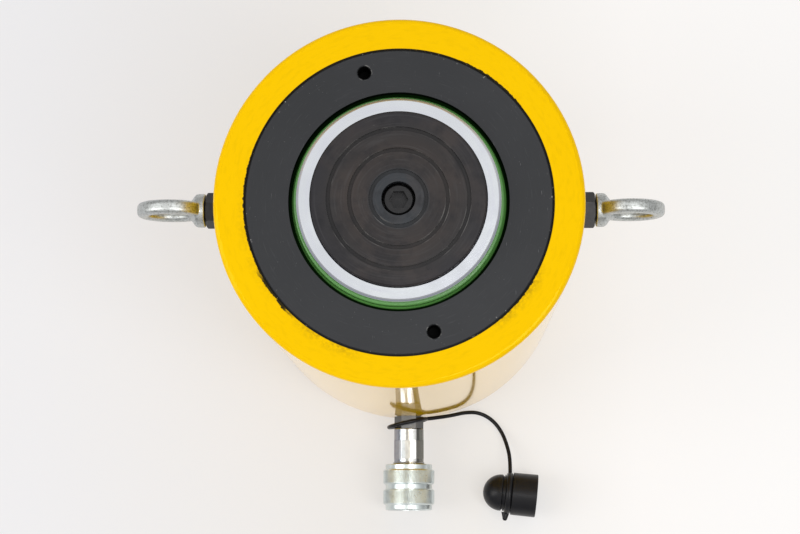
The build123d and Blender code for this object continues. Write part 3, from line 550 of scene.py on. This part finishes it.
def green_wiper():
    """Green polyurethane of the wiper, with painted light on its lip below the top and painted shade, near
    black, at the outer part of its groove.
    """
    finish = Finish("green_wiper", (0.085, 0.235, 0.07), 0.32)
    up = finish.band(finish.axis("z"), BARREL_TOP - 2.4 * MM, BARREL_TOP + 0.1 * MM)
    # Painted light and shade: the lip down in the groove brighter than the green up top, the outer part of
    # the groove near black
    lit_lip_shaded_groove = finish.band(finish.radius(), PLUNGER_HIGH.x + 3.3 * MM, PLUNGER_HIGH.x + 2.7 * MM)
    color = finish.mix(lit_lip_shaded_groove, (0.003, 0.014, 0.002), (0.12, 0.34, 0.08))
    finish.set("Base Color", finish.mix(up, color, (0.095, 0.27, 0.065)))
    # No sheen below the top, as part of the painted shade
    finish.set("Specular IOR Level", finish.math("MULTIPLY", up, 0.5))
    finish.relief(finish.noise(1400, detail=2), 0.01 * MM, 0.5)
    return finish.material


def dress(material, *names):
    """Give CAD nodes their finish."""
    for name in names:
        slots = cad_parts[name].data.materials
        slots.clear()
        slots.append(material)


def dress_all():
    """Every CAD node's finish."""
    dress(yellow_enamel(), "cylinder_body")
    dress(black_ring_paint(), "stop_ring")
    dress(hard_chrome(), "plunger")
    dress(saddle_steel(), "saddle")
    dress(plate_with_painted_reflections(), "coupler_body")
    # The adapter's near-black grey is painted shade: grey steel made dark for the shade it lies in under the
    # strap
    dress(zinc_plate("adapter_in_painted_shade", (0.14, 0.14, 0.14), 0.36), "coupler_adapter")
    dress(PLATED_SLEEVE, "coupler_sleeve")
    dress(black_oxide(), "saddle_screw", "piston_screws", "locknut_left", "locknut_right")
    dress(turned_steel("turned_piston", (0.56, 0.57, 0.58), 0.3), "piston")
    dress(turned_steel("polished_ball", (0.7, 0.71, 0.72), 0.12), "coupler_ball")
    dress(SPRING_STEEL, "coupler_retaining_ring", "saddle_washer")
    dress(green_wiper(), "wiper_seal")
    dress(moulded("seal_rubber", (0.02, 0.02, 0.02), 0.5), "piston_seal", "piston_o_ring", "coupler_seal")
    dress(
        moulded("guide_resin", (0.16, 0.09, 0.04), 0.6, 700, 0.05),
        "stop_ring_wear_bands", "piston_wear_bands",
    )
    dress(moulded("white_resin", (0.78, 0.77, 0.73), 0.45), "piston_backup_ring")
    dress(CAP_RUBBER, "dust_cap", "strap_cap_loop", "strap_coupler_loop")


class Nodes:
    """A geometry tree under construction, with named inputs for its sizes."""

    def __init__(self, name):
        self.tree = bpy.data.node_groups.new(name, "GeometryNodeTree")
        self.tree.interface.new_socket("Geometry", in_out="OUTPUT", socket_type="NodeSocketGeometry")
        self.given = self.tree.nodes.new("NodeGroupInput")
        self.ending = self.tree.nodes.new("NodeGroupOutput")

    def size(self, name, kind="NodeSocketFloat"):
        """A named input of the tree."""
        self.tree.interface.new_socket(name, in_out="INPUT", socket_type=kind)
        return self.given.outputs[name]

    def add(self, kind, inputs=(), **settings):
        """Add a node, and set or link its inputs by name or number."""
        made = self.tree.nodes.new(kind)
        for key, value in settings.items():
            setattr(made, key, value)
        for key, value in dict(inputs).items():
            if isinstance(value, bpy.types.NodeSocket):
                self.tree.links.new(value, made.inputs[key])
            else:
                made.inputs[key].default_value = value
        return made

    def math(self, operation, first, second=0.0):
        """One sum on values or sockets."""
        return self.add("ShaderNodeMath", {0: first, 1: second}, operation=operation).outputs[0]

    def finish(self, geometry, material):
        """Realize the instances, set the material and end the tree."""
        real = self.add("GeometryNodeRealizeInstances", {0: geometry})
        dressed = self.add("GeometryNodeSetMaterial", {"Geometry": real.outputs[0], "Material": material})
        self.tree.links.new(dressed.outputs[0], self.ending.inputs[0])
        return self.tree


def settled(holder, name, body):
    """The plain mesh that an object's modifiers make, riding on a body; the object goes."""
    ready = holder.evaluated_get(bpy.context.evaluated_depsgraph_get())
    mesh = bpy.data.meshes.new_from_object(ready)
    bpy.data.objects.remove(holder)
    mesh.name = name
    piece = bpy.data.objects.new(name, mesh)
    bpy.context.scene.collection.objects.link(piece)
    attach(piece, body)
    return piece


def grown(name, tree, sizes, body):
    """The mesh that a tree makes with these sizes."""
    holder = bpy.data.objects.new(name + "_source", bpy.data.meshes.new(name + "_source"))
    bpy.context.scene.collection.objects.link(holder)
    modifier = holder.modifiers.new("shape", "NODES")
    modifier.node_group = tree
    for item in tree.interface.items_tree:
        if item.in_out == "INPUT" and item.name in sizes:
            modifier[item.identifier] = sizes[item.name]
    return settled(holder, name, body)


def lathe(shape, outline, place, closed):
    """Add an outline of (along, out) points, turned about the x axis of a place."""
    angles = [tau * step / LATHE_STEPS for step in range(LATHE_STEPS)]
    rows = []
    for along, out in outline:
        spots = [place @ Vector((along, out * cos(a), out * sin(a))) for a in angles]
        rows.append([shape.verts.new(spot) for spot in spots])
    pairs = list(zip(rows, rows[1:]))
    if closed:
        pairs.append((rows[-1], rows[0]))
    else:
        shape.faces.new(rows[0])
        shape.faces.new(rows[-1])
    for first, second in pairs:
        for step in range(LATHE_STEPS):
            after = (step + 1) % LATHE_STEPS
            shape.faces.new((first[step], first[after], second[after], second[step]))


def ring_section():
    """The eye ring's section, a rectangle with round corners."""
    middle = sum(EYE_RING) / 2
    half = (EYE_RING[1] - EYE_RING[0]) / 2
    points = []
    for across, out, start in ((1, 1, 0), (-1, 1, 90), (-1, -1, 180), (1, -1, 270)):
        for step in range(EYE_CORNER_STEPS + 1):
            angle = radians(start + 90 / EYE_CORNER_STEPS * step)
            along = across * (EYE_HALF_WIDTH - EYE_EDGE) + EYE_EDGE * cos(angle)
            points.append((along, middle + out * (half - EYE_EDGE) + EYE_EDGE * sin(angle)))
    return points


def forged_eye(side, node, material):
    """A lifting eye forged in one piece, with its ring run smoothly into the collar."""
    shape = bmesh.new()
    facing = Matrix.Rotation(0 if side > 0 else radians(180), 4, "Z")
    bolt = Matrix.Translation((side * EYE_COLLAR_FACE, 0, EYE_HEIGHT)) @ facing
    lathe(shape, [(along * MM, out * MM) for along, out in EYE_OUTLINE], bolt, closed=False)
    ring = Matrix.Translation((side * EYE_CENTRE, 0, EYE_HEIGHT)) @ Matrix.Rotation(radians(90), 4, "Z")
    lathe(shape, ring_section(), ring, closed=True)
    bmesh.ops.recalc_face_normals(shape, faces=shape.faces)
    mesh = bpy.data.meshes.new(node + "_blank")
    shape.to_mesh(mesh)
    shape.free()
    mesh.materials.append(material)
    holder = bpy.data.objects.new(node + "_blank", mesh)
    bpy.context.scene.collection.objects.link(holder)
    skin = holder.modifiers.new("skin", "REMESH")
    skin.mode = "VOXEL"
    skin.voxel_size = EYE_GRAIN
    skin.use_smooth_shade = True
    soften = holder.modifiers.new("soften", "SMOOTH")
    soften.factor = 0.5
    soften.iterations = 10
    piece = settled(holder, node.replace("eyebolt", "forged_eye"), "barrel")
    piece.data.materials.clear()
    piece.data.materials.append(material)
    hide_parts(node)


def knurl_tree():
    """Diamond points in staggered rows round an axis along -Y."""
    made = Nodes("diamond_knurl")
    radius, start, width, height = (made.size(n) for n in ("Radius", "Start", "Width", "Axis Height"))
    depth = made.size("Depth")
    around = made.size("Around", "NodeSocketInt")
    rows = made.size("Rows", "NodeSocketInt")
    material = made.size("Material", "NodeSocketMaterial")
    count = made.math("MULTIPLY", around, rows)
    points = made.add("GeometryNodePoints", {"Count": count})
    index = made.add("GeometryNodeInputIndex").outputs[0]
    row = made.math("FLOOR", made.math("DIVIDE", index, around))
    place = made.math("ADD", made.math("MODULO", index, around), made.math("MULTIPLY", row, 0.5))
    angle = made.math("MULTIPLY", made.math("DIVIDE", place, around), tau)
    row_step = made.math("DIVIDE", width, made.math("ADD", rows, 1))
    out = made.math("ADD", start, made.math("MULTIPLY", made.math("ADD", row, 1), row_step))
    across = made.math("COSINE", angle)
    up = made.math("SINE", angle)
    normal = made.add("ShaderNodeCombineXYZ", {0: across, 2: up}).outputs[0]
    where = made.add(
        "ShaderNodeCombineXYZ",
        {
            0: made.math("MULTIPLY", across, radius),
            1: made.math("MULTIPLY", out, -1.0),
            2: made.math("ADD", made.math("MULTIPLY", up, radius), height),
        },
    )
    moved = made.add(
        "GeometryNodeSetPosition", {"Geometry": points.outputs[0], "Position": where.outputs[0]}
    )
    turn = made.add(
        "FunctionNodeAxesToRotation",
        {0: normal, 1: (0.0, 1.0, 0.0)},
        primary_axis="Z",
        secondary_axis="X",
    )
    point = made.add(
        "GeometryNodeMeshCone",
        {"Vertices": 4, "Radius Top": 0.0, "Radius Bottom": row_step, "Depth": depth},
        fill_type="NGON",
    )
    placed = made.add(
        "GeometryNodeInstanceOnPoints",
        {"Points": moved.outputs[0], "Instance": point.outputs[0], "Rotation": turn.outputs[0]},
    )
    return made.finish(placed.outputs[0], material)


def knurls():
    """The two knurled bands of the coupler's sleeve."""
    tree = knurl_tree()
    bands = {
        "sleeve_knurl_rear": (148.2 * MM, 9.3 * MM),
        "sleeve_knurl_front": (162.3 * MM, 9.8 * MM),
    }
    for name, (start, width) in bands.items():
        sizes = {
            "Radius": SLEEVE_RADIUS - 0.03 * MM,
            "Start": start,
            "Width": width,
            "Axis Height": COUPLER_HEIGHT,
            "Depth": 0.32 * MM,
            "Around": 96,
            "Rows": round(width / (0.6 * MM)) - 1,
            "Material": PLATED_SLEEVE,
        }
        grown(name, tree, sizes, "coupler_sleeve")


def helix_tree():
    """A helical ridge or wire, in each of several places that stand in a circle."""
    made = Nodes("helix")
    radius, pitch, length, depth, circle, first = (
        made.size(n) for n in ("Radius", "Pitch", "Length", "Depth", "Circle Radius", "First Angle")
    )
    holes = made.size("Holes", "NodeSocketInt")
    sides = made.size("Section Sides", "NodeSocketInt")
    start = made.size("Start", "NodeSocketVector")
    turn = made.size("Turn", "NodeSocketVector")
    material = made.size("Material", "NodeSocketMaterial")
    helix = made.add(
        "GeometryNodeCurveSpiral",
        {
            "Resolution": 48,
            "Rotations": made.math("DIVIDE", length, pitch),
            "Start Radius": radius,
            "End Radius": radius,
            "Height": length,
        },
    )
    section = made.add("GeometryNodeCurvePrimitiveCircle", {"Resolution": sides, "Radius": depth})
    ridge = made.add(
        "GeometryNodeCurveToMesh",
        {"Curve": helix.outputs[0], "Profile Curve": section.outputs[0], "Fill Caps": True},
    )
    points = made.add("GeometryNodePoints", {"Count": holes})
    index = made.add("GeometryNodeInputIndex").outputs[0]
    angle = made.math("ADD", made.math("MULTIPLY", made.math("DIVIDE", index, holes), tau), first)
    aside = made.add(
        "ShaderNodeCombineXYZ",
        {
            0: made.math("MULTIPLY", made.math("COSINE", angle), circle),
            1: made.math("MULTIPLY", made.math("SINE", angle), circle),
        },
    )
    where = made.add("ShaderNodeVectorMath", {0: aside.outputs[0], 1: start}, operation="ADD")
    moved = made.add(
        "GeometryNodeSetPosition", {"Geometry": points.outputs[0], "Position": where.outputs[0]}
    )
    turned = made.add("FunctionNodeEulerToRotation", {0: turn})
    placed = made.add(
        "GeometryNodeInstanceOnPoints",
        {"Points": moved.outputs[0], "Instance": ridge.outputs[0], "Rotation": turned.outputs[0]},
    )
    return made.finish(placed.outputs[0], material)


def helices():
    """The threads in the sleeve's mouth and in the holes of the base, and the check ball's spring."""
    tree = helix_tree()
    mouth = {
        "Radius": 15.3 * MM,
        "Pitch": 1.8 * MM,
        "Length": 9.4 * MM,
        "Depth": 0.55 * MM,
        "Circle Radius": 0.0,
        "First Angle": 0.0,
        "Holes": 1,
        "Section Sides": 4,
        "Start": (0.0, -166.3 * MM, COUPLER_HEIGHT),
        "Turn": (radians(90), 0.0, 0.0),
        "Material": PLATED_SLEEVE,
    }
    base = {
        "Radius": 8.75 * MM,
        "Pitch": 2.5 * MM,
        "Length": 26.0 * MM,
        "Depth": 0.5 * MM,
        "Circle Radius": 79.4 * MM,
        "First Angle": radians(45),
        "Holes": 4,
        "Section Sides": 4,
        "Start": (0.0, 0.0, 1.0 * MM),
        "Turn": (0.0, 0.0, 0.0),
        "Material": THREAD_STEEL,
    }
    grown("sleeve_mouth_thread", tree, mouth, "coupler_sleeve")
    grown("base_hole_threads", tree, base, "barrel")
    length = SPRING_HIGH.y - SPRING_LOW.y - SPRING_WIRE
    coil = {
        "Radius": (SPRING_HIGH.z - SPRING_LOW.z - SPRING_WIRE) / 2,
        "Pitch": length / SPRING_TURNS,
        "Length": length,
        "Depth": SPRING_WIRE / 2,
        "Circle Radius": 0.0,
        "First Angle": 0.0,
        "Holes": 1,
        "Section Sides": 12,
        "Start": (0.0, SPRING_HIGH.y - SPRING_WIRE / 2, COUPLER_HEIGHT),
        "Turn": (radians(90), 0.0, 0.0),
        "Material": SPRING_STEEL,
    }
    spring = grown("ball_spring", tree, coil, "barrel")
    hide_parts("coupler_spring")
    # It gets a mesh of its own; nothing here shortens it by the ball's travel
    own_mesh(spring)


def strap():
    """The cap's rubber strap, on a smooth line through its route."""
    line = bpy.data.curves.new("rubber_strap", "CURVE")
    line.dimensions = "3D"
    line.bevel_depth = STRAP_DIAMETER / 2
    line.bevel_resolution = 6
    line.use_fill_caps = True
    line.resolution_u = 16
    spline = line.splines.new("NURBS")
    spline.points.add(len(STRAP_ROUTE) - 1)
    for point, place in zip(spline.points, STRAP_ROUTE):
        point.co = (*place, 1)
    spline.order_u = 3
    spline.use_endpoint_u = True
    line.materials.append(CAP_RUBBER)
    piece = bpy.data.objects.new("rubber_strap", line)
    bpy.context.scene.collection.objects.link(piece)
    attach(piece, "barrel")
    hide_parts("strap")


def floor():
    """A pale floor that keeps the object's shadow, a hair below the base, with painted light and shade
    across it.
    """
    bpy.ops.mesh.primitive_plane_add(size=FLOOR_SIZE, location=(0, 0, -FLOOR_GAP))
    piece = bpy.context.object
    piece.name = "floor"
    finish = Finish("pale_floor", (0.92, 0.91, 0.905), 0.9, specular=0.0)
    rays = finish.node("ShaderNodeLightPath")
    seen = finish.math("MAXIMUM", rays.outputs["Is Camera Ray"], rays.outputs["Is Glossy Ray"])
    # Painted light and shade: the glow is dim and cool at the left, dim and warm in a strip through the
    # middle beside the coupler, and brightest at the right
    side = finish.band(finish.axis("x"), -0.28, 0.28)
    white = finish.ramp(
        side,
        [
            (0.0, (0.80, 0.80, 0.83)),
            (0.45, (0.79, 0.77, 0.755)),
            (0.60, (0.85, 0.835, 0.82)),
            (0.80, (0.98, 0.965, 0.96)),
            (1.0, (1.0, 0.99, 0.985)),
        ],
    )
    glow = finish.node("ShaderNodeEmission", {"Color": white, "Strength": 1.05})
    share = finish.math("MULTIPLY", seen, 0.6)
    mixed = finish.node(
        "ShaderNodeMixShader", {0: share, 1: finish.shader.outputs[0], 2: glow.outputs[0]}
    )
    ending = finish.tree.nodes["Material Output"]
    finish.tree.links.new(mixed.outputs[0], ending.inputs["Surface"])
    piece.data.materials.append(finish.material)


def soft_box(name, place, aim, width, height, power):
    """A large lamp that faces a point."""
    lamp = bpy.data.lights.new(name, "AREA")
    lamp.shape = "RECTANGLE"
    lamp.size = width
    lamp.size_y = height
    lamp.energy = power
    holder = bpy.data.objects.new(name, lamp)
    back = Vector(place) - Vector(aim)
    holder.matrix_world = Matrix.Translation(place) @ back.to_track_quat("Z", "Y").to_matrix().to_4x4()
    bpy.context.scene.collection.objects.link(holder)


def graded(tree, value, lowest, highest, start, end):
    """A value between lowest and highest, spread from start to end."""
    made = tree.nodes.new("ShaderNodeMapRange")
    sizes = {"Value": value, "From Min": lowest, "From Max": highest, "To Min": start, "To Max": end}
    for key, given in sizes.items():
        if isinstance(given, bpy.types.NodeSocket):
            tree.links.new(given, made.inputs[key])
        else:
            made.inputs[key].default_value = given
    return made.outputs[0]


def room():
    """A pale room all round, darker towards its walls in reflections, and two soft boxes overhead."""
    world = bpy.data.worlds.new("pale_room")
    world.use_nodes = True
    tree = world.node_tree
    light = tree.nodes["Background"]
    light.inputs["Color"].default_value = (1, 1, 1, 1)
    rays = tree.nodes.new("ShaderNodeLightPath")
    way = tree.nodes.new("ShaderNodeSeparateXYZ")
    tree.links.new(tree.nodes.new("ShaderNodeTexCoord").outputs["Generated"], way.inputs[0])
    on_object = 0.55
    seen = 0.95
    wall = 0.45
    mirrored = graded(tree, way.outputs["Z"], 0.3, 0.85, wall, seen)
    strength = graded(tree, rays.outputs["Is Glossy Ray"], 0.0, 1.0, on_object, mirrored)
    strength = graded(tree, rays.outputs["Is Camera Ray"], 0.0, 1.0, strength, seen)
    tree.links.new(strength, light.inputs["Strength"])
    bpy.context.scene.world = world
    soft_box("left_soft_box", (-1.5, -0.3, 1.5), (0, 0, 0.2), 0.9, 1.6, 13)
    soft_box("right_soft_box", (0.75, -0.5, 2.1), (0, 0, 0.2), 0.6, 1.6, 15)


PLATED_SLEEVE = zinc_plate("plated_sleeve", (0.72, 0.78, 0.77), 0.3)
SPRING_STEEL = turned_steel("spring_wire", (0.35, 0.35, 0.36), 0.3)
THREAD_STEEL = turned_steel("thread_steel", (0.30, 0.30, 0.31), 0.35)
CAP_RUBBER = moulded("cap_rubber", (0.008, 0.008, 0.010), 0.33, 800, 0.03, specular=0.22)

place_camera()
floor()
room()
dress_all()
strap()
knurls()
helices()
EYE_SKIN = forged_zinc()
forged_eye(-1, "eyebolt_left", EYE_SKIN)
forged_eye(1, "eyebolt_right", EYE_SKIN)

bpy.context.scene.view_settings.view_transform = "Standard"
